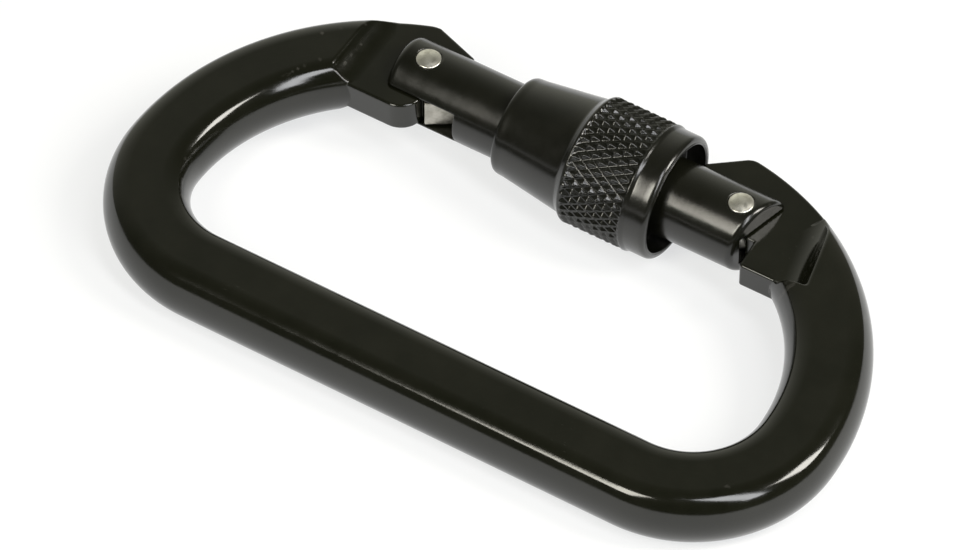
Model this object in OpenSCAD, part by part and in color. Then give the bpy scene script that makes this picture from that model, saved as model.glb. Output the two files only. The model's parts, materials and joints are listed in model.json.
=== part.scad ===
// Locking carabiner: a D frame of pressed round bar, a sprung gate, and a screw sleeve that locks it.
// The frame lies in the XY plane with its long side, the spine, at -Y and the gate at +Y.
// The origin is the centre of the whole object's box. Z = 0 is the mid-plane of every part.

/* [Frame] */
// Diameter of the round bar that the frame is bent from
bar_d = 12; // [11:0.5:13]
// Thickness of the bar after its two faces are pressed flat
bar_t = 9.4; // [9:0.1:10]
// Overall length of the frame
frame_l = 112; // [108:1:116]
// Radius of the bar's centreline at the two corners beside the spine
corner_r = 16; // [14:0.5:18]
// Radius of the bar's centreline over the two shoulders
shoulder_r = 34.5; // [33:0.5:36]
// Distance from the spine's centreline to the gate's axis
spine_to_gate = 45.6; // [45:0.1:46.5]

/* [Lugs] */
// Thickness of the hinge lug, inside the gate's forked end
hinge_lug_t = 4.8; // [4.4:0.1:4.9]
// Thickness of the hooked nose, inside the gate's free end
nose_t = 4.2; // [3.8:0.1:4.4]
// Distance along the frame from its middle to the foot of each milled recess
recess_foot = 33.3; // [32.5:0.1:34]
// Radius of the cutter that mills the recesses
recess_r = 4.2; // [3:0.1:5]
// Angle by which the wall of the nose's recess leans back from square
nose_slant = 12; // [8:1:16]

/* [Gate] */
// Diameter of the gate's bar
gate_d = 11.3; // [11:0.1:11.5]
// Distance between the hinge pin and the latch pin
pin_spacing = 50; // [49:0.5:51]
// Distance of the hinge pin from the middle of the frame
hinge_from_middle = 25.6; // [25:0.1:26]
// Diameter of both pins
pin_d = 3.6; // [3.4:0.1:4]
// Height of the domed end of each pin
pin_dome = 0.35; // [0.2:0.05:0.5]
// Width of the slot round the hinge lug
hinge_slot_w = 5.2; // [5:0.1:5.6]
// Width of the slot round the nose
nose_slot_w = 4.8; // [4.6:0.1:5.2]
// Diameter of the bore that holds the spring
spring_bore_d = 6.4; // [6:0.1:6.8]

/* [Sleeve] */
// Length of the sleeve
sleeve_l = 25.9; // [25:0.1:27]
// Distance from the hinge pin to the near end of the sleeve
sleeve_from_hinge = 14.1; // [14:0.1:14.5]
// Diameter of the sleeve at its narrow end
sleeve_small_d = 14.4; // [14:0.1:15]
// Diameter over the knurled band
knurl_d = 18.9; // [18.5:0.1:19.2]
// Length of the knurled band
knurl_l = 11; // [10:0.5:12]
// Diameter of the smooth rim
rim_d = 18.4; // [18:0.1:18.4]
// Length of the smooth rim
rim_l = 3.3; // [3:0.1:3.6]
// Diameter of the recess in the rim, which slides over the nose
rim_bore_d = 16.2; // [15.9:0.1:16.4]
// Depth of the recess in the rim
rim_bore_l = 3.2; // [2.9:0.1:3.6]

/* [Hidden] */
$fn = 96;
slack = 0.05; // radial clearance of a shaft that turns or slides in a bore
eps = 0.01;   // how far a cutter overshoots a face
cutter = 50;  // longer than anything that a cutter goes through

// Colours
anodised = [0.07, 0.07, 0.06];
bare_metal = [0.75, 0.74, 0.7];
nylon = [0.85, 0.83, 0.76];

// Plan of the frame
bar_r = bar_d / 2;
outer_r = shoulder_r + bar_r;
hinge_x = -hinge_from_middle;
latch_x = hinge_x + pin_spacing;
nose_peak = 47.2; // from the hinge pin to the outermost point of the nose
spine_half = frame_l / 2 - bar_r - corner_r;
shoulder_x = frame_l / 2 - outer_r;
nose_rise = corner_r - spine_to_gate + sqrt(pow(outer_r, 2) - pow(hinge_x + nose_peak - shoulder_x, 2));
overall_w = bar_r + spine_to_gate + nose_rise;
spine_y = bar_r - overall_w / 2;
gate_y = spine_y + spine_to_gate;
shoulder_y = spine_y + corner_r;
shoulder_turn = 63; // degrees of shoulder swept before the milled lugs take over
lug_inner = 7.7;    // from the gate's axis to the inner edge of the hinge lug
nose_inner = 7.2;   // the same for the nose
recess_side = 7.4;  // from the gate's axis to the inner wall of each milled recess

// Places along the gate
gate_r = gate_d / 2;
gate_tail = 4.3;         // from the hinge pin to the gate's hinge end
gate_tip = 54.6;         // from the hinge pin to the gate's free end, on its outer side
gate_tip_cut = 15;       // degrees by which the free end leans, so that it clears the nose
hinge_slot_end = 7.1;    // from the hinge pin to the end of the forked slot
nose_slot_start = 39.4;  // from the hinge pin to the start of the slot for the nose
nose_slot_floor = -3.7;  // floor of that slot, from the gate's axis
spring_bore_end = 29;    // from the hinge pin to the bottom of the spring's bore
blade_pocket_end = 9.8;  // from the hinge pin to the end of the pocket that the pusher's blade slides in
blade_pocket_w = 7.2;
edge_round = 0.8;        // rounding of the gate's hinge end
pin_inset = 0.2;         // from the crown of the gate's bar down to the edge of a pin's dome

// Spring and its pusher
pusher_head_x = 9.4;     // from the hinge pin to the pusher's head
pusher_head_l = 1.6;
pusher_blade_t = 1.1;
pusher_blade_h = 4.4;
pusher_tip = [2.35, -5.05]; // the blade's outer corner beside the hinge lug, from the hinge pin
pusher_root = [pusher_head_x, -0.6]; // where the blade's outer side meets the head
pusher_sink = 0.6;       // how far the blade runs on into the head
spring_d = 5.8;
spring_hole_d = 4.2;

// Sleeve
sleeve_x = sleeve_from_hinge;
sleeve_end = sleeve_x + sleeve_l;
cone_l = sleeve_l - knurl_l - rim_l;
sleeve_bore_r = gate_r + slack;
ring_x = sleeve_x + 3.2;
ring_l = 1.6;
ring_r = 6.5;

// ---------------------------------------------------------------- profiles

// Section of the bar: a round bar pressed flat on two faces
module bar_section() {
    intersection() {
        circle(d = bar_d);
        square([bar_d + 1, bar_t], center = true);
    }
}

// Turns what was drawn round Z so that it lies along +X
module along_x() {
    rotate([0, 90, 0])
        children();
}

// A cylinder that lies on the gate's axis, from one distance to another past the hinge pin
module gate_cylinder(d, from, to) {
    translate([hinge_x + from, gate_y, 0])
        along_x()
            cylinder(d = d, h = to - from);
}

// ---------------------------------------------------------------- frame

// One end of the frame: half of the spine, a corner and a shoulder
module frame_half() {
    translate([0, spine_y, 0])
        rotate([90, 0, 90])
            linear_extrude(spine_half)
                bar_section();
    translate([spine_half, spine_y + corner_r, 0])
        rotate([0, 0, -90])
            rotate_extrude(angle = 90)
                translate([corner_r, 0])
                    bar_section();
    translate([shoulder_x, shoulder_y, 0])
        rotate_extrude(angle = shoulder_turn)
            translate([shoulder_r, 0])
                bar_section();
}

// Everything inside the outer line of one shoulder
module inside_shoulder() {
    translate([shoulder_x, shoulder_y])
        circle(r = outer_r, $fn = 180);
}

// Plan of the hinge lug: a rounded heel on the inner side and a slanted end behind the gate
module hinge_lug_plan() {
    heel_r = 3.4;
    heel_x = hinge_x - 1.9;
    end_x = hinge_x + 4.1;
    difference() {
        intersection() {
            mirror([1, 0])
                inside_shoulder();
            union() {
                polygon([
                    [hinge_x - 14, gate_y - lug_inner],
                    [heel_x, gate_y - lug_inner],
                    [heel_x + heel_r, gate_y - lug_inner + heel_r],
                    [end_x, gate_y],
                    [end_x, gate_y + 5.6],
                    [hinge_x - 2.9, gate_y + 8],
                    [hinge_x - 12, gate_y + 8]
                ]);
                translate([heel_x, gate_y - lug_inner + heel_r])
                    circle(r = heel_r);
            }
        }
        translate([hinge_x, gate_y])
            circle(d = pin_d + 2 * slack);
    }
}

// Plan of the nose: a block inside the frame's line, and a hook with a notch for the latch pin
module nose_plan() {
    notch_w = pin_d + 0.8;
    difference() {
        intersection() {
            inside_shoulder();
            polygon([
                [hinge_x + 40.95, gate_y + 6.1],
                [hinge_x + 41.3, gate_y - 1.2],
                [hinge_x + 43.2, gate_y - 2.6],
                [latch_x, gate_y - 2.6],
                [hinge_x + 53.6, gate_y - 2.6],
                [hinge_x + 53.9, gate_y - nose_inner],
                [hinge_x + 62, gate_y - nose_inner],
                [hinge_x + 64, gate_y],
                [hinge_x + 58, gate_y + 12],
                [hinge_x + nose_peak, gate_y + 12],
                [hinge_x + nose_peak, gate_y + nose_rise],
                [hinge_x + 45.6, gate_y + 9.8]
            ]);
        }
        translate([latch_x, gate_y])
            circle(d = notch_w);
        translate([latch_x - notch_w / 2, gate_y - 5])
            square([notch_w, 5]);
    }
}

// Cutter for a milled recess over a lug: flat floor, a round wall up to the pressed face, a square inner wall
module recess_cutter(lug_t, slant) {
    intersection() {
        for (side = [0, 1])
            mirror([0, 0, side])
                translate([recess_foot, gate_y, lug_t / 2])
                    rotate([0, 0, slant]) {
                        translate([-cutter, -cutter / 2, 0])
                            cube([cutter, cutter, bar_t]);
                        translate([0, cutter / 2, recess_r])
                            rotate([90, 0, 0])
                                cylinder(r = recess_r, h = cutter);
                    }
        translate([0, gate_y - recess_side, -cutter / 2])
            cube(cutter);
    }
}

// The frame in one piece
module body() {
    color(anodised) {
        difference() {
            frame_half();
            recess_cutter(nose_t, nose_slant);
        }
        difference() {
            mirror([1, 0, 0])
                frame_half();
            mirror([1, 0, 0])
                recess_cutter(hinge_lug_t, 0);
        }
        translate([0, 0, -hinge_lug_t / 2])
            linear_extrude(hinge_lug_t)
                hinge_lug_plan();
        translate([0, 0, -nose_t / 2])
            linear_extrude(nose_t)
                nose_plan();
    }
}

// ---------------------------------------------------------------- gate

// The round bar of the gate, with rounded ends, the free end cut at an angle
module gate_bar() {
    difference() {
        translate([hinge_x - gate_tail, gate_y, 0])
            along_x()
                rotate_extrude()
                    gate_profile();
        translate([hinge_x + gate_tip, gate_y + gate_r, 0])
            rotate([0, 0, -gate_tip_cut])
                translate([0, -cutter / 2, -cutter / 2])
                    cube(cutter);
    }
}

// Half section of the gate's bar, drawn up the Y axis
module gate_profile() {
    l = gate_tail + gate_tip;
    difference() {
        square([gate_r, l]);
        translate([gate_r - edge_round, -eps])
            square([edge_round + eps, edge_round + eps]);
    }
    intersection() {
        translate([gate_r - edge_round, edge_round])
            circle(r = edge_round);
        square([gate_r, edge_round + eps]);
    }
}

// The gate: forked over the hinge lug, bored for its spring and slotted for the nose
module gate() {
    color(anodised)
        difference() {
            gate_bar();
            translate([hinge_x - gate_tail - 1, gate_y - gate_r - 1, -hinge_slot_w / 2])
                cube([gate_tail + hinge_slot_end + 1, gate_d + 2, hinge_slot_w]);
            translate([hinge_x + nose_slot_start, gate_y + nose_slot_floor, -nose_slot_w / 2])
                cube([gate_tip, gate_d, nose_slot_w]);
            translate([hinge_x + hinge_slot_end - 1, gate_y - blade_pocket_w / 2, -hinge_slot_w / 2])
                cube([blade_pocket_end - hinge_slot_end + 1, blade_pocket_w, hinge_slot_w]);
            gate_cylinder(spring_bore_d, hinge_slot_end - 1, spring_bore_end);
            for (x = [hinge_x, latch_x])
                translate([x, gate_y, -gate_d])
                    cylinder(d = pin_d, h = 2 * gate_d);
        }
}

// A rivet across the gate with two domed ends
module rivet(x) {
    dome_r = (pow(pin_d / 2, 2) + pow(pin_dome, 2)) / (2 * pin_dome);
    shank = gate_d - 2 * pin_inset;
    translate([x, gate_y, 0]) {
        cylinder(d = pin_d, h = shank, center = true);
        for (side = [0, 1])
            mirror([0, 0, side])
                translate([0, 0, shank / 2])
                    intersection() {
                        translate([0, 0, pin_dome - dome_r])
                            sphere(r = dome_r);
                        cylinder(d = pin_d, h = 1);
                    }
    }
}

module hinge_pin() {
    color(bare_metal)
        rivet(hinge_x);
}

module latch_pin() {
    color(bare_metal)
        rivet(latch_x);
}

// The pusher: a round head in the bore, and a blade that reaches out to the hinge lug
module spring_pusher() {
    run = pusher_root - pusher_tip;
    color(bare_metal) {
        gate_cylinder(spring_bore_d - 2 * slack, pusher_head_x, pusher_head_x + pusher_head_l);
        translate([hinge_x + pusher_tip[0], gate_y + pusher_tip[1], 0])
            rotate([0, 0, atan2(run[1], run[0])])
                translate([0, 0, -pusher_blade_h / 2])
                    cube([norm(run) + pusher_sink, pusher_blade_t, pusher_blade_h]);
    }
}

// The spring, as the tube that it fills
module gate_spring() {
    color(bare_metal)
        difference() {
            gate_cylinder(spring_d, pusher_head_x + pusher_head_l, spring_bore_end);
            gate_cylinder(spring_hole_d, pusher_head_x, spring_bore_end + 1);
        }
}

// ---------------------------------------------------------------- sleeve

// The friction ring, in a groove inside the sleeve
module sleeve_ring() {
    color(nylon)
        difference() {
            gate_cylinder(2 * ring_r, ring_x, ring_x + ring_l);
            gate_cylinder(2 * (gate_r + slack), ring_x - 1, ring_x + ring_l + 1);
        }
}

// Half section of the sleeve's outside, drawn up the Y axis from its narrow end
module sleeve_profile() {
    small_r = sleeve_small_d / 2;
    cone_end_r = 8.65;
    knurl_r = knurl_d / 2;
    rim_r = rim_d / 2;
    chamfer = 0.5;
    round_r = 0.9;
    polygon([
        [0, 0],
        [small_r - chamfer, 0],
        [small_r, chamfer],
        [small_r + 0.1, 1.5],
        [cone_end_r, cone_l],
        [knurl_r, cone_l + 0.9],
        [knurl_r, cone_l + knurl_l - 0.5],
        [rim_r, cone_l + knurl_l],
        [rim_r, sleeve_l - round_r],
        [rim_r - round_r, sleeve_l - round_r],
        [rim_r - round_r, sleeve_l],
        [0, sleeve_l]
    ]);
    translate([rim_r - round_r, sleeve_l - round_r])
        circle(r = round_r);
}

// The sleeve: a plain collar outside, bored to slide and turn on the gate
module lock_sleeve() {
    color(anodised)
        difference() {
            translate([hinge_x + sleeve_x, gate_y, 0])
                along_x()
                    rotate_extrude()
                        sleeve_profile();
            gate_cylinder(2 * sleeve_bore_r, sleeve_x - 1, sleeve_end + 1);
            gate_cylinder(rim_bore_d, sleeve_end - rim_bore_l, sleeve_end + 1);
            gate_cylinder(2 * (ring_r + slack), ring_x - slack, ring_x + ring_l + slack);
        }
}

body();
gate();
hinge_pin();
latch_pin();
spring_pusher();
gate_spring();
sleeve_ring();
lock_sleeve();
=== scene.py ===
"""Locking carabiner: the looks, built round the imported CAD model.

The frame lies in the XY plane, with its spine at -Y, its gate at +Y and its nose at +X.
Shapes are worked out in millimetres and put into Blender in metres, in the CAD frame.
"""

import json
import math

import bmesh
import bpy
import numpy as np
from mathutils import Matrix, Vector


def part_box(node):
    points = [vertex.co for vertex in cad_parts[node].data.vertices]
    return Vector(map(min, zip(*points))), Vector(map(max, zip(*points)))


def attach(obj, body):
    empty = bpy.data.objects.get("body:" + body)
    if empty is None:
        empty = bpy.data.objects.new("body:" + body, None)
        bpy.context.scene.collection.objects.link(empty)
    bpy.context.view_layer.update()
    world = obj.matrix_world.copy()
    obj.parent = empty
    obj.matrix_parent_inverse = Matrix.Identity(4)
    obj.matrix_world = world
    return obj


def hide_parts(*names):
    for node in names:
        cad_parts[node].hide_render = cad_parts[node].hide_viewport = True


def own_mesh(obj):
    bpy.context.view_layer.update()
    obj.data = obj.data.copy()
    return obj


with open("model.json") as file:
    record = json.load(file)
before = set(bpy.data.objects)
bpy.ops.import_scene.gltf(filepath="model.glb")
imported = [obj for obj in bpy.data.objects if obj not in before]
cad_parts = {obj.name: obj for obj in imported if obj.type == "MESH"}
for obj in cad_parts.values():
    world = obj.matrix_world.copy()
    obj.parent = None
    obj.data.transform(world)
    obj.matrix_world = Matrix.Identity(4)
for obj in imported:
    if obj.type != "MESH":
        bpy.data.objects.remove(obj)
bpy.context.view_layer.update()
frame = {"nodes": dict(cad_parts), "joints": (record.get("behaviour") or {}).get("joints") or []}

MM = 0.001
TURN = 2 * math.pi

# ---------------------------------------------------------------- sizes, in millimetres

body_low, body_high = (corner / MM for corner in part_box("body"))
gate_low, gate_high = (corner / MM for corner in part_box("gate"))
sleeve_low, sleeve_high = (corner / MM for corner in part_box("lock_sleeve"))
spring_low, spring_high = (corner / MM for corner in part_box("gate_spring"))
latch_low, latch_high = (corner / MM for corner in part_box("latch_pin"))
hinge_joint = next(joint for joint in frame["joints"] if joint["name"] == "gate_hinge")

# Frame: a round bar pressed flat on both faces, with a corner and a shoulder at each end of its spine
BAR_R = 6.0
BAR_HALF_T = body_high.z
CREASE_R = 0.8  # where a flat meets the bar's round side
CORNER_R = 16.0  # both bends are measured at the bar's centreline
SHOULDER_R = 34.5
SPINE_Y = body_low.y + BAR_R
SHOULDER_Y = SPINE_Y + CORNER_R
SPINE_HALF = body_high.x - BAR_R - CORNER_R
SHOULDER_X = body_high.x - BAR_R - SHOULDER_R
SHOULDER_END = math.radians(62)  # how far round the shoulder the full bar goes

# Pins and the gate's axis
HINGE_X = hinge_joint["pos_m"][0] / MM
GATE_Y = hinge_joint["pos_m"][1] / MM
LATCH_X = (latch_low.x + latch_high.x) / 2
PIN_R = 1.8
PIN_PROUD = 5.8  # from the mid-plane to a rivet's top

# Lugs: the plates at the frame's ends
HINGE_LUG_T = 4.8
NOSE_T = 4.2
LUG_INNER = 7.7  # from the gate's axis to the inner edge of the hinge lug
NOSE_INNER = 7.2  # the same for the nose
HEEL_R = 3.4
HEEL_X = -1.9  # the heel's centre, from the hinge pin
NOSE_PEAK = 47.2  # the nose's outermost point, from the hinge pin
LUG_CORNER_R = 0.5
NOSE_CORNER_R = 0.45
HINGE_HOLE_R = PIN_R + 0.05
NOTCH_R = PIN_R + 0.4
MILLED_EDGE = 0.3

# Milled recesses, which thin the bar to its lugs
RECESS_FOOT = 33.3  # from the frame's middle to where the floor begins to curve up
RECESS_R = 4.2
RECESS_SIDE = 7.4  # from the gate's axis to the inner wall
RECESS_CORNER_R = 0.5
NOSE_SLANT = math.radians(12)

# Gate, from the hinge pin
GATE_R = gate_high.z
GATE_TAIL = gate_low.x - HINGE_X
GATE_TAIL_EDGE = 1.2
TIP_LEAN = math.radians(15)
TIP_EDGE = 0.8
TIP_ROUNDED_OFF = 0.14  # what that edge takes off the gate's length
GATE_TIP = gate_high.x + TIP_ROUNDED_OFF - HINGE_X
HINGE_SLOT = 2.6  # half the width of each slot
HINGE_SLOT_END = 7.1
NOSE_SLOT = 2.4
NOSE_SLOT_START = 39.4
NOSE_SLOT_FLOOR = -3.7
BORE_R = 3.2
BORE_END = 29.0
POCKET_END = 9.8
POCKET_HALF = 3.6
SLOT_EDGE = 0.2
BORE_EDGE = 0.1
PIN_HOLE_R = PIN_R + 0.04
PIN_HOLE_EDGE = 0.14
THREAD_FROM = 23.0
THREAD_TO = 35.6
THREAD_PITCH = 2.5
THREAD_DEPTH = 0.42
THREAD_FLANK = 4.2  # how fast a groove deepens, in depths a pitch
THREAD_MOUTH = 1.7  # half the width of a groove's mouth in pitches, times that

# Pusher and spring, from the hinge pin
PUSHER_HEAD = (9.4, 11.0)
PUSHER_HEAD_R = BORE_R - 0.1
PUSHER_HEAD_EDGE = 0.25
PUSHER_TIP = (2.35, -5.05)
PUSHER_ROOT = (9.4, -0.6)
PUSHER_TENON = 0.6  # how far the blade runs into the head
PUSHER_T = 1.1
PUSHER_HALF_H = 2.2
PUSHER_EDGE = 0.18
SPRING_WIRE_R = 0.4
SPRING_TURNS = 12

# Sleeve, from its narrow end
SLEEVE_L = sleeve_high.x - sleeve_low.x
SLEEVE_BORE_R = GATE_R + 0.05
KNURL_R = sleeve_high.z
KNURL_STARTS = 40
KNURL_PERIOD = TURN * KNURL_R / KNURL_STARTS / math.tan(math.radians(30))
KNURL_DEPTH = 0.46
KNURL_FROM = 12.5
KNURL_TO = 22.0
KNURL_FADE = 0.35
KNURL_CREST = 0.14  # as shares of half a groove's pitch: the flat crest, then the sloping side
KNURL_SIDE = 0.78


# ---------------------------------------------------------------- rounded solids as distance fields

FAR_OUT = 9  # a distance well outside a solid, and one well inside
FAR_IN = -1
SLIDES = 5  # how often, and how far at most, a vertex slides onto its surface
LONGEST_SLIDE = 0.15


def round_max(a, b, r):
    """What two solids share, with the edge between them rounded to a radius."""
    rounding = np.hypot(np.maximum(a + r, 0), np.maximum(b + r, 0))
    return np.minimum(np.maximum(a, b), -r) + rounding


def without(a, b, r):
    """Solid a with solid b cut out of it, and the cut's edge rounded to a radius."""
    return round_max(a, -b, r)


def span(v, low, high):
    """Distance outside a slab from low to high."""
    return np.maximum(low - v, v - high)


def polygon(x, y, points, corner_r):
    """Distance in plan from a closed outline whose outer corners are rounded."""
    p = np.array(points, float)
    after = np.roll(p, -1, 0)
    if (p[:, 0] * after[:, 1] - after[:, 0] * p[:, 1]).sum() < 0:
        p = p[::-1]
    edge = np.roll(p, -1, 0) - p
    inward = np.stack([-edge[:, 1], edge[:, 0]], 1) / np.hypot(*edge.T)[:, None]
    before = np.roll(inward, 1, 0)
    p = p + corner_r * (inward + before) / (1 + (inward * before).sum(1))[:, None]
    nearest = np.full(x.shape, 1e9)
    inside = np.zeros(x.shape, bool)
    for a, b in zip(p, np.roll(p, -1, 0)):
        ab = b - a
        along = np.clip(((x - a[0]) * ab[0] + (y - a[1]) * ab[1]) / (ab @ ab), 0, 1)
        nearest = np.minimum(nearest, (x - a[0] - along * ab[0]) ** 2 + (y - a[1] - along * ab[1]) ** 2)
        crossed = (a[1] > y) != (b[1] > y)
        inside ^= crossed & (x < a[0] + (y - a[1]) * ab[0] / (ab[1] or 1))
    return np.where(inside, -1, 1) * np.sqrt(nearest) - corner_r


def slope(field, points, h=0.01):
    """The field's gradient at points."""
    steps = np.eye(3) * h
    return np.stack([field(points + s) - field(points - s) for s in steps], -1) / (2 * h)


def skin(field, axes, place=lambda grid: grid):
    """Vertices, quads and normals of the surface where a field is zero.

    The field is sampled on a grid of three axes, which place() maps into space. Each grid cell that
    the surface passes through gets one vertex, which then slides along the gradient onto the surface.
    """
    points = place(np.stack(np.meshgrid(*axes, indexing="ij"), -1))
    value = field(points)
    cells = tuple(n - 1 for n in value.shape)
    total = np.zeros(cells + (3,))
    count = np.zeros(cells, int)
    edges = []
    for axis in range(3):
        low = tuple(slice(0, -1) if i == axis else slice(None) for i in range(3))
        high = tuple(slice(1, None) if i == axis else slice(None) for i in range(3))
        near, far = value[low], value[high]
        found = np.argwhere((near < 0) != (far < 0))
        at = tuple(found.T)
        share = (near[at] / (near[at] - far[at]))[:, None]
        crossing = points[low][at] * (1 - share) + points[high][at] * share
        ring = []
        for back in ((0, 0), (1, 0), (1, 1), (0, 1)):
            cell = found.copy()
            cell[:, (axis + 1) % 3] -= back[0]
            cell[:, (axis + 2) % 3] -= back[1]
            np.add.at(total, tuple(cell.T), crossing)
            np.add.at(count, tuple(cell.T), 1)
            ring.append(cell)
        edges.append((ring, near[at] < 0))
    used = count > 0
    number = np.full(cells, -1)
    number[used] = np.arange(used.sum())
    vertices = total[used] / count[used][:, None]
    quads = []
    for ring, forward in edges:
        quad = np.stack([number[tuple(cell.T)] for cell in ring], 1)
        quads.append(np.where(forward[:, None], quad, quad[:, ::-1]))
    for _ in range(SLIDES):
        gradient = slope(field, vertices)
        slide = field(vertices) / np.maximum((gradient ** 2).sum(-1), 0.1)
        vertices = vertices - gradient * np.clip(slide, -LONGEST_SLIDE, LONGEST_SLIDE)[:, None]
    normals = slope(field, vertices)
    normals /= np.linalg.norm(normals, axis=-1, keepdims=True) + 1e-12
    quads = np.concatenate(quads)
    a, b, c, d = (vertices[quads[:, i]] for i in range(4))
    if (np.cross(c - a, d - b) * normals[quads[:, 0]]).sum() < 0:
        quads = quads[:, ::-1]
    return vertices, quads.tolist(), normals


# ---------------------------------------------------------------- meshes

DOUBLED = 0.0001  # vertices closer than this are one vertex


def new_piece(name, vertices, faces, body, material, replaced):
    """A smooth mesh object from millimetres. It rides on a CAD body and stands for one of its nodes."""
    mesh = bpy.data.meshes.new(name)
    mesh.from_pydata((vertices * MM).tolist(), [], faces)
    mesh.shade_smooth()
    mesh.materials.append(material)
    piece = bpy.data.objects.new(name, mesh)
    bpy.context.scene.collection.objects.link(piece)
    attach(piece, body)
    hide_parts(replaced)
    return piece


def tidy(piece):
    """Joins doubled vertices, as at a lathe's axis, and turns every face outward."""
    work = bmesh.new()
    work.from_mesh(piece.data)
    bmesh.ops.remove_doubles(work, verts=work.verts, dist=DOUBLED * MM)
    bmesh.ops.recalc_face_normals(work, faces=work.faces)
    work.to_mesh(piece.data)
    work.free()
    piece.data.shade_smooth()
    weighted = piece.modifiers.new("weighted_normals", "WEIGHTED_NORMAL")
    weighted.weight = 60


def set_normals(piece, normals):
    """Gives each vertex its own exact normal."""
    piece.data.normals_split_custom_set_from_vertices(normals.tolist())


def outline(corners, steps=6):
    """A closed outline in (along, out). A corner is (along, out, the length that its rounding takes)."""
    made = []
    for i, (along, out, rounding) in enumerate(corners):
        here = np.array([along, out])
        before = np.array(corners[i - 1][:2]) - here
        after = np.array(corners[(i + 1) % len(corners)][:2]) - here
        if rounding == 0:
            made.append(here)
            continue
        start = before / np.hypot(*before) * rounding
        end = after / np.hypot(*after) * rounding
        for t in np.linspace(0, 1, steps):
            made.append(here + (1 - t) ** 2 * start + t ** 2 * end)
    return np.array(made)


def finer(points, longest):
    """A closed outline with its long edges divided. longest gives the length allowed at a point."""
    made = []
    for a, b in zip(points, np.roll(points, -1, 0)):
        parts = max(1, math.ceil(np.hypot(*(b - a)) / longest((a + b) / 2)))
        made.extend(a + (b - a) * i / parts for i in range(parts))
    return np.array(made)


def turned(profile, sides, place, relief=None):
    """Vertices and quads of a closed profile turned round an axis. relief() may move a point outwards."""
    around = np.arange(sides) * TURN / sides
    along = np.repeat(profile[:, :1], sides, 1)
    out = np.repeat(profile[:, 1:], sides, 1)
    if relief:
        out = out + relief(along, out, around)
    vertices = place(along, out * np.cos(around), out * np.sin(around)).reshape(-1, 3)
    ring = np.arange(len(profile))[:, None] * sides
    step = np.arange(sides)[None, :]
    after = (step + 1) % sides
    ring_after = np.roll(ring, -1, 0)
    quads = np.stack([ring + step, ring_after + step, ring_after + after, ring + after], -1)
    return vertices, quads.reshape(-1, 4).tolist()


def tube(centre, radius, sides):
    """Vertices and faces of a round wire along a line of points, with flat ends."""
    ahead = np.gradient(centre, axis=0)
    ahead /= np.linalg.norm(ahead, axis=1, keepdims=True)
    side = np.cross(ahead, [1.0, 0.0, 0.0])
    side /= np.linalg.norm(side, axis=1, keepdims=True)
    up = np.cross(ahead, side)
    around = np.arange(sides) * TURN / sides
    rings = centre[:, None] + radius * (
        side[:, None] * np.cos(around)[None, :, None] + up[:, None] * np.sin(around)[None, :, None]
    )
    faces = []
    for i in range(len(centre) - 1):
        for j in range(sides):
            k = (j + 1) % sides
            faces.append([i * sides + j, i * sides + k, (i + 1) * sides + k, (i + 1) * sides + j])
    faces.append(list(range(sides)))
    faces.append([(len(centre) - 1) * sides + j for j in range(sides)])
    return rings.reshape(-1, 3), faces


# ---------------------------------------------------------------- materials

SPECK = (0.06, 0.06, 0.05)
SCRATCH = (0.16, 0.16, 0.14)
WORN_EDGE = (0.24, 0.23, 0.21)
ANODISED_IOR = 1.56
NYLON_IOR = 1.53


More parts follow.
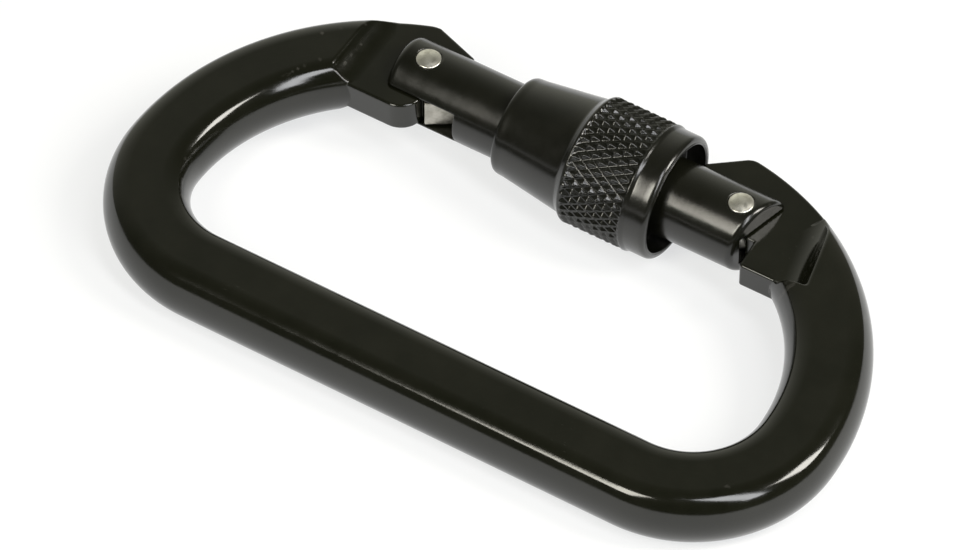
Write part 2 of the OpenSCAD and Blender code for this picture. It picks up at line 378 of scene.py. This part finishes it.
class Nodes:
    """A short way to write a material's node tree."""

    def __init__(self, name):
        self.material = bpy.data.materials.new(name)
        self.material.use_nodes = True
        self.tree = self.material.node_tree
        self.shader = self.tree.nodes["Principled BSDF"]
        self.coords = self.tree.nodes.new("ShaderNodeTexCoord").outputs["Object"]

    def node(self, kind, values, **links):
        """A node with values set on some of its inputs, and sockets linked to others."""
        made = self.tree.nodes.new(kind)
        for key, value in values.items():
            made.inputs[key].default_value = value
        for key, source in links.items():
            self.tree.links.new(source, made.inputs[key.replace("_", " ")])
        return made

    def stretched(self, scale, turn=(0, 0, 0)):
        """The object's coordinates, turned and scaled, so that what is drawn on them is drawn out."""
        moved = self.node("ShaderNodeMapping", {"Scale": scale, "Rotation": turn}, Vector=self.coords)
        return moved.outputs["Vector"]

    def noise(self, scale, detail, vector=None):
        """A cloudy pattern, with its scale in features a metre."""
        values = {"Scale": scale, "Detail": detail, "Roughness": 0.55}
        return self.node("ShaderNodeTexNoise", values, Vector=vector or self.coords).outputs["Fac"]

    def between(self, value, low, high, to_low=0.0, to_high=1.0):
        """value, from the range low to high, carried over to another range."""
        values = {"From Min": low, "From Max": high, "To Min": to_low, "To Max": to_high}
        return self.node("ShaderNodeMapRange", values, Value=value).outputs["Result"]

    def times(self, a, b):
        """Two sockets multiplied, or a socket and a number."""
        made = self.tree.nodes.new("ShaderNodeMath")
        made.operation = "MULTIPLY"
        self.tree.links.new(a, made.inputs[0])
        if isinstance(b, float):
            made.inputs[1].default_value = b
        else:
            self.tree.links.new(b, made.inputs[1])
        return made.outputs[0]

    def mix(self, share, low, high):
        """A colour between two, each a colour or a socket."""
        made = self.tree.nodes.new("ShaderNodeMix")
        made.data_type = "RGBA"
        self.tree.links.new(share, made.inputs["Factor"])
        for socket, colour in ((made.inputs[6], low), (made.inputs[7], high)):
            if isinstance(colour, tuple):
                socket.default_value = (*colour, 1)
            else:
                self.tree.links.new(colour, socket)
        return made.outputs[2]

    def bump(self, height, distance, normal=None):
        """A normal tilted by a height, which may be laid over another bump."""
        links = {"Height": height}
        if normal:
            links["Normal"] = normal
        values = {"Strength": 1.0, "Distance": distance}
        return self.node("ShaderNodeBump", values, **links).outputs["Normal"]

    def scratches(self, turn, fineness):
        """A mask of sparse hairline scratches that run one way."""
        lines = self.noise(fineness, 2, self.stretched((1, 14, 14), turn))
        patches = self.noise(90, 2, self.stretched((1, 1, 1), turn))
        return self.times(self.between(lines, 0.72, 0.76), self.between(patches, 0.58, 0.68))

    def set(self, **inputs):
        """Sets the shader's inputs, each to a constant or from a socket."""
        for key, value in inputs.items():
            socket = self.shader.inputs[key.replace("_", " ")]
            if isinstance(value, bpy.types.NodeSocket):
                self.tree.links.new(value, socket)
            else:
                socket.default_value = value


def anodised(name, dye, bloom, rough, worn):
    """Dyed anodised aluminium: near-black, with faint clouds, specks, hairlines and paler worn edges."""
    n = Nodes(name)
    cloud = n.noise(160, 4)
    colour = n.mix(n.between(cloud, 0.35, 0.68), dye, bloom)
    colour = n.mix(n.times(n.between(n.noise(5200, 2), 0.7, 0.8), 0.2), colour, SPECK)
    colour = n.mix(n.times(n.scratches((0.2, 0.1, 0.7), 900), 0.35), colour, SCRATCH)
    edge = n.tree.nodes.new("ShaderNodeNewGeometry").outputs["Pointiness"]
    edge = n.times(n.between(edge, 0.56, 0.66), n.between(n.noise(700, 3), 0.35, 0.7))
    colour = n.mix(n.times(edge, worn), colour, WORN_EDGE)
    grain = n.noise(7000, 3)
    pits = n.noise(1500, 3)
    normal = n.bump(grain, 0.0000022, n.bump(pits, 0.0000035))
    roughness = n.between(n.noise(420, 4), 0.3, 0.7, *rough)
    n.set(Base_Color=colour, Roughness=roughness, Normal=normal, Metallic=0.0, IOR=ANODISED_IOR)
    return n.material


def bright_metal(name, pale, dark, rough, lines):
    """Bare metal with marks drawn out by the scale in lines, and grime in patches."""
    n = Nodes(name)
    grime = n.noise(900, 4)
    drawn = n.noise(1800, 3, n.stretched(lines))
    colour = n.mix(n.between(grime, 0.42, 0.72), pale, dark)
    colour = n.mix(n.times(n.between(drawn, 0.5, 0.75), 0.35), colour, dark)
    roughness = n.between(drawn, 0.3, 0.7, *rough)
    normal = n.bump(drawn, 0.000004, n.bump(grime, 0.000012))
    n.set(Base_Color=colour, Roughness=roughness, Normal=normal, Metallic=1.0)
    return n.material


def moulded_nylon(name):
    """Natural nylon: milky, a little uneven, with a fine moulded texture."""
    n = Nodes(name)
    colour = n.mix(n.between(n.noise(500, 3), 0.35, 0.65), (0.74, 0.71, 0.61), (0.82, 0.80, 0.72))
    normal = n.bump(n.noise(3000, 3), 0.000008)
    roughness = n.between(n.noise(800, 2), 0.3, 0.7, 0.42, 0.58)
    n.set(Base_Color=colour, Roughness=roughness, Normal=normal, IOR=NYLON_IOR)
    n.set(Subsurface_Weight=0.15, Subsurface_Radius=(0.0008, 0.0007, 0.0005))
    return n.material


frame_finish = anodised(
    "frame_anodised",
    dye=(0.0040, 0.0043, 0.0020),
    bloom=(0.0062, 0.0064, 0.0036),
    rough=(0.10, 0.15),
    worn=0.15,
)
gate_finish = anodised(
    "gate_anodised",
    dye=(0.0038, 0.0040, 0.0022),
    bloom=(0.0062, 0.0063, 0.0040),
    rough=(0.17, 0.24),
    worn=0.12,
)
sleeve_finish = anodised(
    "sleeve_anodised",
    dye=(0.0040, 0.0042, 0.0026),
    bloom=(0.0068, 0.0068, 0.0046),
    rough=(0.17, 0.24),
    worn=0.10,
)
rivet_finish = bright_metal(
    "rivet_metal",
    pale=(0.93, 0.91, 0.83),
    dark=(0.55, 0.53, 0.46),
    rough=(0.28, 0.44),
    lines=(1, 1, 1),
)
pusher_finish = bright_metal(
    "pusher_metal",
    pale=(0.48, 0.46, 0.41),
    dark=(0.28, 0.27, 0.23),
    rough=(0.32, 0.48),
    lines=(1, 1, 6),
)
spring_finish = bright_metal(
    "spring_steel",
    pale=(0.60, 0.60, 0.60),
    dark=(0.33, 0.33, 0.34),
    rough=(0.22, 0.34),
    lines=(6, 1, 1),
)
nylon_finish = moulded_nylon("ring_nylon")


# ---------------------------------------------------------------- frame


def along_bar(grid):
    """Maps a grid of (distance along the bar's centreline, outwards, up) into space."""
    s, out, up = np.abs(grid[..., 0]), grid[..., 1], grid[..., 2]
    corner = (s - SPINE_HALF) / CORNER_R
    shoulder = (s - SPINE_HALF) / SHOULDER_R - CORNER_R / SHOULDER_R * math.pi / 2
    on_spine = corner < 0
    on_corner = shoulder < 0
    corner_x = SPINE_HALF + (CORNER_R + out) * np.sin(corner)
    corner_y = -(CORNER_R + out) * np.cos(corner)
    shoulder_x = SHOULDER_X + (SHOULDER_R + out) * np.cos(shoulder)
    shoulder_y = (SHOULDER_R + out) * np.sin(shoulder)
    x = np.where(on_spine, s, np.where(on_corner, corner_x, shoulder_x))
    y = np.where(on_spine, -(CORNER_R + out), np.where(on_corner, corner_y, shoulder_y))
    return np.stack([np.sign(grid[..., 0]) * x, SHOULDER_Y + y, up], -1)


def lug(plan, shoulder, up, thickness):
    """A milled plate over a plan, whose outer side carries on the bar's round side."""
    outer = np.where(shoulder > 0, np.hypot(shoulder, up), shoulder) - BAR_R
    return round_max(round_max(outer, plan, MILLED_EDGE), up - thickness / 2, MILLED_EDGE)


def hinge_lug_plan(x, y):
    """The hinge lug, from the hinge pin: a rounded inner heel, and a slanted end behind the gate."""
    heel_y = HEEL_R - LUG_INNER
    points = [
        (-14, -LUG_INNER), (HEEL_X, -LUG_INNER), (HEEL_X + HEEL_R, heel_y),
        (4.1, 0), (4.1, 5.6), (-2.9, 8), (-12, 8),
    ]
    heel = np.hypot(x - HEEL_X, y - heel_y) - HEEL_R
    plate = np.minimum(polygon(x, y, points, LUG_CORNER_R), heel)
    return without(plate, np.hypot(x, y) - HINGE_HOLE_R, BORE_EDGE)


def nose_plan(x, y):
    """The nose, from the hinge pin: an inner block, and a hook notched for the latch pin."""
    latch = LATCH_X - HINGE_X
    points = [
        (40.95, 6.1), (41.3, -1.2), (43.2, -2.6), (53.6, -2.6),
        (53.9, -NOSE_INNER), (62, -NOSE_INNER), (64, 0), (58, 12),
        (NOSE_PEAK, 12), (NOSE_PEAK - 0.2, 10.42), (45.6, 9.8),
    ]
    notch = np.maximum(np.abs(x - latch) - NOTCH_R, y)
    notch = np.minimum(notch, np.hypot(x - latch, y) - NOTCH_R)
    return without(polygon(x, y, points, NOSE_CORNER_R), notch, MILLED_EDGE)


def frame_field(p):
    """The bent bar, its two milled recesses and its two lugs."""
    x, y, up = p[..., 0], p[..., 1], np.abs(p[..., 2])
    across = np.abs(x)
    beyond = y - SHOULDER_Y
    corner = np.hypot(np.maximum(across - SPINE_HALF, 0), np.minimum(beyond, 0)) - CORNER_R
    shoulder = np.hypot(across - SHOULDER_X, beyond) - SHOULDER_R
    off = np.where(beyond < 0, corner, shoulder)
    bar = round_max(np.hypot(off, up) - BAR_R, up - BAR_HALF_T, CREASE_R)
    end = beyond * math.cos(SHOULDER_END) - (across - SHOULDER_X) * math.sin(SHOULDER_END)
    bar = np.maximum(bar, np.where(beyond > 0, end, FAR_IN))
    lean = np.where(x > 0, NOSE_SLANT, 0)
    floor = up - np.where(x > 0, NOSE_T, HINGE_LUG_T) / 2
    back = (across - RECESS_FOOT) * np.cos(lean) + (y - GATE_Y) * np.sin(lean)
    recess = np.minimum(np.maximum(back, -floor), np.hypot(back, floor - RECESS_R) - RECESS_R)
    recess = round_max(recess, GATE_Y - RECESS_SIDE - y, RECESS_CORNER_R)
    bar = without(bar, recess, MILLED_EDGE)
    hinge_lug = lug(hinge_lug_plan(x - HINGE_X, y - GATE_Y), shoulder, up, HINGE_LUG_T)
    nose = lug(nose_plan(x - HINGE_X, y - GATE_Y), shoulder, up, NOSE_T)
    hinge_lug = np.where(x < 0, hinge_lug, FAR_OUT)
    nose = np.where(x > 0, nose, FAR_OUT)
    return np.minimum(bar, np.minimum(hinge_lug, nose))


def build_frame():
    """The frame, on a grid that follows the bar and is finer where its ends are milled."""
    corner_from = SPINE_HALF
    shoulder_from = corner_from + CORNER_R * math.pi / 2
    lug_from = shoulder_from + SHOULDER_R * math.radians(35)
    hinge_to = shoulder_from + SHOULDER_R * math.radians(84)
    nose_to = shoulder_from + SHOULDER_R * math.radians(93)

    def half(to):
        return np.concatenate([
            np.linspace(0, corner_from, 20, endpoint=False)[1:],
            np.linspace(corner_from, shoulder_from, 52, endpoint=False),
            np.linspace(shoulder_from, lug_from, 26, endpoint=False),
            np.arange(lug_from, to, 0.23),
        ])

    along = np.concatenate([-half(hinge_to)[::-1], [0.0], half(nose_to)])
    lug_reach, half_height = 10.6, 5.05
    out = np.arange(-lug_reach, BAR_R + 0.6, 0.235)
    up = np.linspace(-half_height, half_height, 45)
    vertices, quads, normals = skin(frame_field, (along, out, up), along_bar)
    piece = new_piece("frame_bar", vertices, quads, "frame", frame_finish, "body")
    set_normals(piece, normals)


# ---------------------------------------------------------------- gate and its rivets


def gate_field(p):
    """The gate from the hinge pin: forked, bored, slotted for the nose, and threaded under the sleeve."""
    x, y, z = p[..., 0] - HINGE_X, p[..., 1] - GATE_Y, p[..., 2]
    r = np.hypot(y, z)
    phase = (x / THREAD_PITCH - np.arctan2(z, y) / TURN) % 1
    groove = np.clip(THREAD_MOUTH - THREAD_FLANK * np.abs(phase - 0.5), 0, 1)
    groove *= np.clip(x - THREAD_FROM, 0, 1) * np.clip(THREAD_TO - x, 0, 1)
    rod = r - GATE_R + THREAD_DEPTH * groove
    rod = round_max(rod, GATE_TAIL - x, GATE_TAIL_EDGE)
    tip = (x - GATE_TIP) * math.cos(TIP_LEAN) - (y - GATE_R) * math.sin(TIP_LEAN)
    rod = round_max(rod, tip, TIP_EDGE)
    rod = without(rod, np.maximum(np.abs(z) - HINGE_SLOT, x - HINGE_SLOT_END), SLOT_EDGE)
    pocket = np.maximum(span(x, HINGE_SLOT_END - 1, POCKET_END), np.abs(y) - POCKET_HALF)
    rod = without(rod, np.maximum(pocket, np.abs(z) - HINGE_SLOT), BORE_EDGE)
    nose = np.maximum(np.maximum(NOSE_SLOT_START - x, NOSE_SLOT_FLOOR - y), np.abs(z) - NOSE_SLOT)
    rod = without(rod, nose, SLOT_EDGE)
    rod = without(rod, np.maximum(r - BORE_R, span(x, HINGE_SLOT_END - 1, BORE_END)), BORE_EDGE)
    for pin in (0, LATCH_X - HINGE_X):
        rod = without(rod, np.hypot(x - pin, y) - PIN_HOLE_R, PIN_HOLE_EDGE)
    return rod


def build_gate():
    """The gate, on a grid that is finer over its slotted ends and its thread."""
    fine = 0.21
    along = np.concatenate([
        np.arange(GATE_TAIL - 0.5, POCKET_END + 0.6, fine),
        np.arange(POCKET_END + 0.8, THREAD_FROM - 0.4, 0.8),
        np.arange(THREAD_FROM, THREAD_TO + 0.3, fine),
        np.arange(THREAD_TO + 0.5, NOSE_SLOT_START - 0.6, 0.6),
        np.arange(NOSE_SLOT_START - 0.4, GATE_TIP + 0.5, fine),
    ])
    across = np.linspace(-GATE_R - 0.25, GATE_R + 0.25, 55)
    vertices, quads, normals = skin(gate_field, (HINGE_X + along, GATE_Y + across, across))
    piece = new_piece("gate_bar", vertices, quads, "gate_arm", gate_finish, "gate")
    set_normals(piece, normals)


def build_rivet(name, x, replaced):
    """A peened rivet: a low dome at each end, with a rolled edge."""
    edge, dome_h, fullness = 0.16, 0.33, 2.4
    dome = [(PIN_PROUD - dome_h * (r / PIN_R) ** fullness, r) for r in np.linspace(0, PIN_R - edge, 9)]
    roll = [
        (dome[-1][0] - edge * (1 - math.cos(t)), PIN_R - edge + edge * math.sin(t))
        for t in np.linspace(0.3, math.pi / 2, 5)
    ]
    top = dome + roll
    profile = np.array(top + [(-along, out) for along, out in reversed(top)])

    def place(along, a, b):
        return np.stack([x + a, GATE_Y + b, along], -1)

    vertices, quads = turned(profile, 72, place)
    tidy(new_piece(name, vertices, quads, "gate_arm", rivet_finish, replaced))


# ---------------------------------------------------------------- spring and pusher


def pusher_field(p):
    """The pusher: a round head in the gate's bore, and a blade that leans on the hinge lug."""
    x, y, z = p[..., 0] - HINGE_X, p[..., 1] - GATE_Y, p[..., 2]
    head = round_max(np.hypot(y, z) - PUSHER_HEAD_R, span(x, *PUSHER_HEAD), PUSHER_HEAD_EDGE)
    run = np.array(PUSHER_ROOT) - PUSHER_TIP
    reach = np.hypot(*run)
    ahead = run / reach
    along = (x - PUSHER_TIP[0]) * ahead[0] + (y - PUSHER_TIP[1]) * ahead[1]
    above = (y - PUSHER_TIP[1]) * ahead[0] - (x - PUSHER_TIP[0]) * ahead[1]
    blade = round_max(span(along, 0, reach + PUSHER_TENON), span(above, 0, PUSHER_T), PUSHER_EDGE)
    blade = round_max(blade, np.abs(z) - PUSHER_HALF_H, PUSHER_EDGE)
    return np.minimum(head, blade)


def build_pusher():
    """The pusher, on one fine grid."""
    fine = 0.17
    x = HINGE_X + np.arange(PUSHER_TIP[0] - 0.7, PUSHER_HEAD[1] + 0.4, fine)
    y = GATE_Y + np.arange(PUSHER_TIP[1] - 0.4, BORE_R + 0.4, fine)
    z = np.arange(-BORE_R - 0.3, BORE_R + 0.4, fine)
    vertices, quads, normals = skin(pusher_field, (x, y, z))
    piece = new_piece(
        "pusher_plate", vertices, quads, "pusher", pusher_finish, "spring_pusher"
    )
    set_normals(piece, normals)


def build_spring():
    """A coil spring with closed ends."""
    low, high = spring_low.x + SPRING_WIRE_R, spring_high.x - SPRING_WIRE_R
    radius = spring_high.z - SPRING_WIRE_R
    turn = np.linspace(0, SPRING_TURNS, SPRING_TURNS * 26)
    closing = 2 * SPRING_WIRE_R
    open_share = np.clip((turn - 1) / (SPRING_TURNS - 2), 0, 1)
    ends = closing * (np.clip(turn, 0, 1) + np.clip(turn - SPRING_TURNS + 1, 0, 1))
    along = low + ends + open_share * (high - low - 2 * closing)
    angle = turn * TURN
    centre = np.stack([along, GATE_Y + radius * np.cos(angle), radius * np.sin(angle)], -1)
    vertices, faces = tube(centre, SPRING_WIRE_R, 12)
    piece = new_piece(
        "coil_spring", vertices, faces, "gate_arm", spring_finish, "gate_spring"
    )
    tidy(piece)
    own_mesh(piece)


# ---------------------------------------------------------------- sleeve


def knurl(along, out, around):
    """The relief of a 30 degree diamond knurl: two crossing sets of grooves over the raised band."""
    on_band = out > KNURL_R - 0.12
    fade = np.clip((along - KNURL_FROM) / KNURL_FADE, 0, 1)
    fade *= np.clip((KNURL_TO - along) / KNURL_FADE, 0, 1)
    grooves = 0
    for hand in (-1, 1):
        phase = (around * KNURL_STARTS / TURN + hand * along / KNURL_PERIOD) % 1
        groove = np.clip((np.abs(2 * phase - 1) - KNURL_CREST) / KNURL_SIDE, 0, 1)
        grooves = np.maximum(grooves, groove)
    return -KNURL_DEPTH * grooves * fade * on_band


def build_sleeve():
    """The sleeve, turned from one outline: cone, knurled band, rim, and a bore with its ring's groove."""
    bore_r = SLEEVE_BORE_R
    rim_r = 9.2
    rim_bore_r = 8.1
    rim_bore_from = SLEEVE_L - 3.2
    groove_r = 6.55
    ring_low, ring_high = (corner.x / MM - sleeve_low.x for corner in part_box("sleeve_ring"))
    corners = [
        (0, bore_r, 0.3),
        (0, 7.2, 0.85),
        (1.6, 7.28, 0.4),
        (11.3, 8.62, 0.25),
        (12.25, KNURL_R, 0.2),
        (KNURL_TO + 0.12, KNURL_R, 0.15),
        (22.6, rim_r, 0.2),
        (SLEEVE_L, rim_r, 0.85),
        (SLEEVE_L, rim_bore_r, 0.28),
        (rim_bore_from, rim_bore_r, 0.2),
        (rim_bore_from, bore_r, 0.3),
        (ring_high + 0.05, bore_r, 0),
        (ring_high + 0.05, groove_r, 0),
        (ring_low - 0.05, groove_r, 0),
        (ring_low - 0.05, bore_r, 0),
    ]

    def longest(point):
        on_knurl = KNURL_FROM - 0.4 < point[0] < KNURL_TO + 0.2 and point[1] > KNURL_R - 0.2
        return KNURL_PERIOD / 24 if on_knurl else 0.8

    def place(along, a, b):
        return np.stack([sleeve_low.x + along, GATE_Y + a, b], -1)

    profile = finer(outline(corners), longest)
    vertices, quads = turned(profile, KNURL_STARTS * 12, place, knurl)
    piece = new_piece(
        "screw_sleeve", vertices, quads, "sleeve", sleeve_finish, "lock_sleeve"
    )
    tidy(piece)


build_frame()
build_gate()
build_rivet("hinge_rivet", HINGE_X, "hinge_pin")
build_rivet("latch_rivet", LATCH_X, "latch_pin")
build_pusher()
build_spring()
build_sleeve()

for slot in frame["nodes"]["sleeve_ring"].material_slots:
    slot.material = nylon_finish


# ---------------------------------------------------------------- floor, light and camera

REST_Y = -28.8  # the outer edge of the spine's lower flat, which rests on the floor
TILT_SPARE = 1.005  # tips the floor a little further, so that the knurl doesn't sink in
FLOOR_TILT = math.asin((KNURL_R - BAR_HALF_T) / (GATE_Y - REST_Y)) * TILT_SPARE
LIGHT_DISTANCE = 0.6
BACKDROP = (-0.68, 0.73, 0)  # the way to it

# The room: pairs of how nearly a direction points at the backdrop, and how bright it is there
ROOM = ((0.0, 0.07), (0.25, 0.08), (0.45, 0.12), (0.62, 0.20), (0.75, 0.34), (1.0, 0.80))
ROOM_BLUE = 0.86

VIEW_AZIMUTH = math.radians(31.45)
VIEW_ELEVATION = math.radians(50.57)
VIEW_DISTANCE = 0.9
VIEW_MIDDLE = (0, -2.42 * MM, 0)
VIEW_OFFSET = (1.496, 1.047)  # how far left of that and below it the camera aims, in millimetres
LENS = 243.56


def add_floor():
    """The surface that the knurl and the spine rest on, so it leans a little in this frame."""
    work = bmesh.new()
    bmesh.ops.create_grid(work, x_segments=1, y_segments=1, size=4)
    mesh = bpy.data.meshes.new("floor")
    work.to_mesh(mesh)
    work.free()
    floor = bpy.data.objects.new("floor", mesh)
    bpy.context.scene.collection.objects.link(floor)
    touching = Matrix.Translation((0, REST_Y * MM, -BAR_HALF_T * MM))
    floor.matrix_world = touching @ Matrix.Rotation(-FLOOR_TILT, 4, "X")
    n = Nodes("floor_card")
    colour = n.mix(n.noise(30, 3), (0.27, 0.27, 0.27), (0.29, 0.29, 0.288))
    n.set(Base_Color=colour, Roughness=0.75, Emission_Color=(0.98, 0.99, 1.0, 1), Emission_Strength=0.68)
    mesh.materials.append(n.material)


def add_light(name, bearing, height, wide, tall, radiance, colour):
    """A soft box that faces the origin.

    Its bearing is clockwise from +Y. The bearing, height, width and tallness are in degrees, as seen
    from the origin, and radiance is how bright its face is.
    """
    bearing, height = math.radians(bearing), math.radians(height)
    light = bpy.data.lights.new(name, "AREA")
    light.shape = "RECTANGLE"
    light.size = 2 * LIGHT_DISTANCE * math.tan(math.radians(wide / 2))
    light.size_y = 2 * LIGHT_DISTANCE * math.tan(math.radians(tall / 2))
    light.energy = radiance * math.pi * light.size * light.size_y
    light.color = colour
    box = bpy.data.objects.new(name, light)
    bpy.context.scene.collection.objects.link(box)
    direction = Vector((
        math.sin(bearing) * math.cos(height),
        math.cos(bearing) * math.cos(height),
        math.sin(height),
    ))
    box.location = direction * LIGHT_DISTANCE
    box.rotation_mode = "QUATERNION"
    box.rotation_quaternion = (-direction).to_track_quat("-Z", "Y")
    box.visible_camera = False


def add_world():
    """A dim room, with a pale backdrop beyond the hinge end and the gate."""
    world = bpy.data.worlds.new("room")
    bpy.context.scene.world = world
    world.use_nodes = True
    tree = world.node_tree
    background = tree.nodes["Background"]
    direction = tree.nodes.new("ShaderNodeTexCoord")
    toward = tree.nodes.new("ShaderNodeVectorMath")
    toward.operation = "DOT_PRODUCT"
    toward.inputs[1].default_value = BACKDROP
    ramp = tree.nodes.new("ShaderNodeValToRGB")
    tree.links.new(direction.outputs["Generated"], toward.inputs[0])
    tree.links.new(toward.outputs["Value"], ramp.inputs[0])
    tree.links.new(ramp.outputs[0], background.inputs["Color"])
    stops = ramp.color_ramp.elements
    while len(stops) < len(ROOM):
        stops.new(0.5)
    for stop, (share, level) in zip(stops, ROOM):
        stop.position = share
        stop.color = (level, level, level * ROOM_BLUE, 1)


def add_camera():
    """The camera that gives the reference view: 31 degrees round and 51 degrees up, from 0.9 m."""
    back = Vector((
        math.sin(VIEW_AZIMUTH) * math.cos(VIEW_ELEVATION),
        -math.cos(VIEW_AZIMUTH) * math.cos(VIEW_ELEVATION),
        math.sin(VIEW_ELEVATION),
    ))
    right = Vector((math.cos(VIEW_AZIMUTH), math.sin(VIEW_AZIMUTH), 0))
    up = back.cross(right)
    aim = Vector(VIEW_MIDDLE) - right * VIEW_OFFSET[0] * MM - up * VIEW_OFFSET[1] * MM
    data = bpy.data.cameras.new("camera")
    data.sensor_width = 36
    data.lens = LENS
    data.clip_start, data.clip_end = 0.01, 20
    camera = bpy.data.objects.new("camera", data)
    bpy.context.scene.collection.objects.link(camera)
    camera.location = aim + back * VIEW_DISTANCE
    camera.rotation_mode = "QUATERNION"
    camera.rotation_quaternion = (-back).to_track_quat("-Z", "Y")
    bpy.context.scene.camera = camera


add_floor()
add_world()
add_light("window_far", bearing=65, height=41, wide=18, tall=30, radiance=16, colour=(1.0, 0.97, 0.90))
add_light("window_right", bearing=109, height=50, wide=13, tall=56, radiance=9, colour=(0.97, 0.98, 1.0))
add_light("window_near", bearing=192, height=46, wide=15, tall=32, radiance=13, colour=(1.0, 0.97, 0.86))
add_camera()
bpy.context.scene.view_settings.view_transform = "Standard"
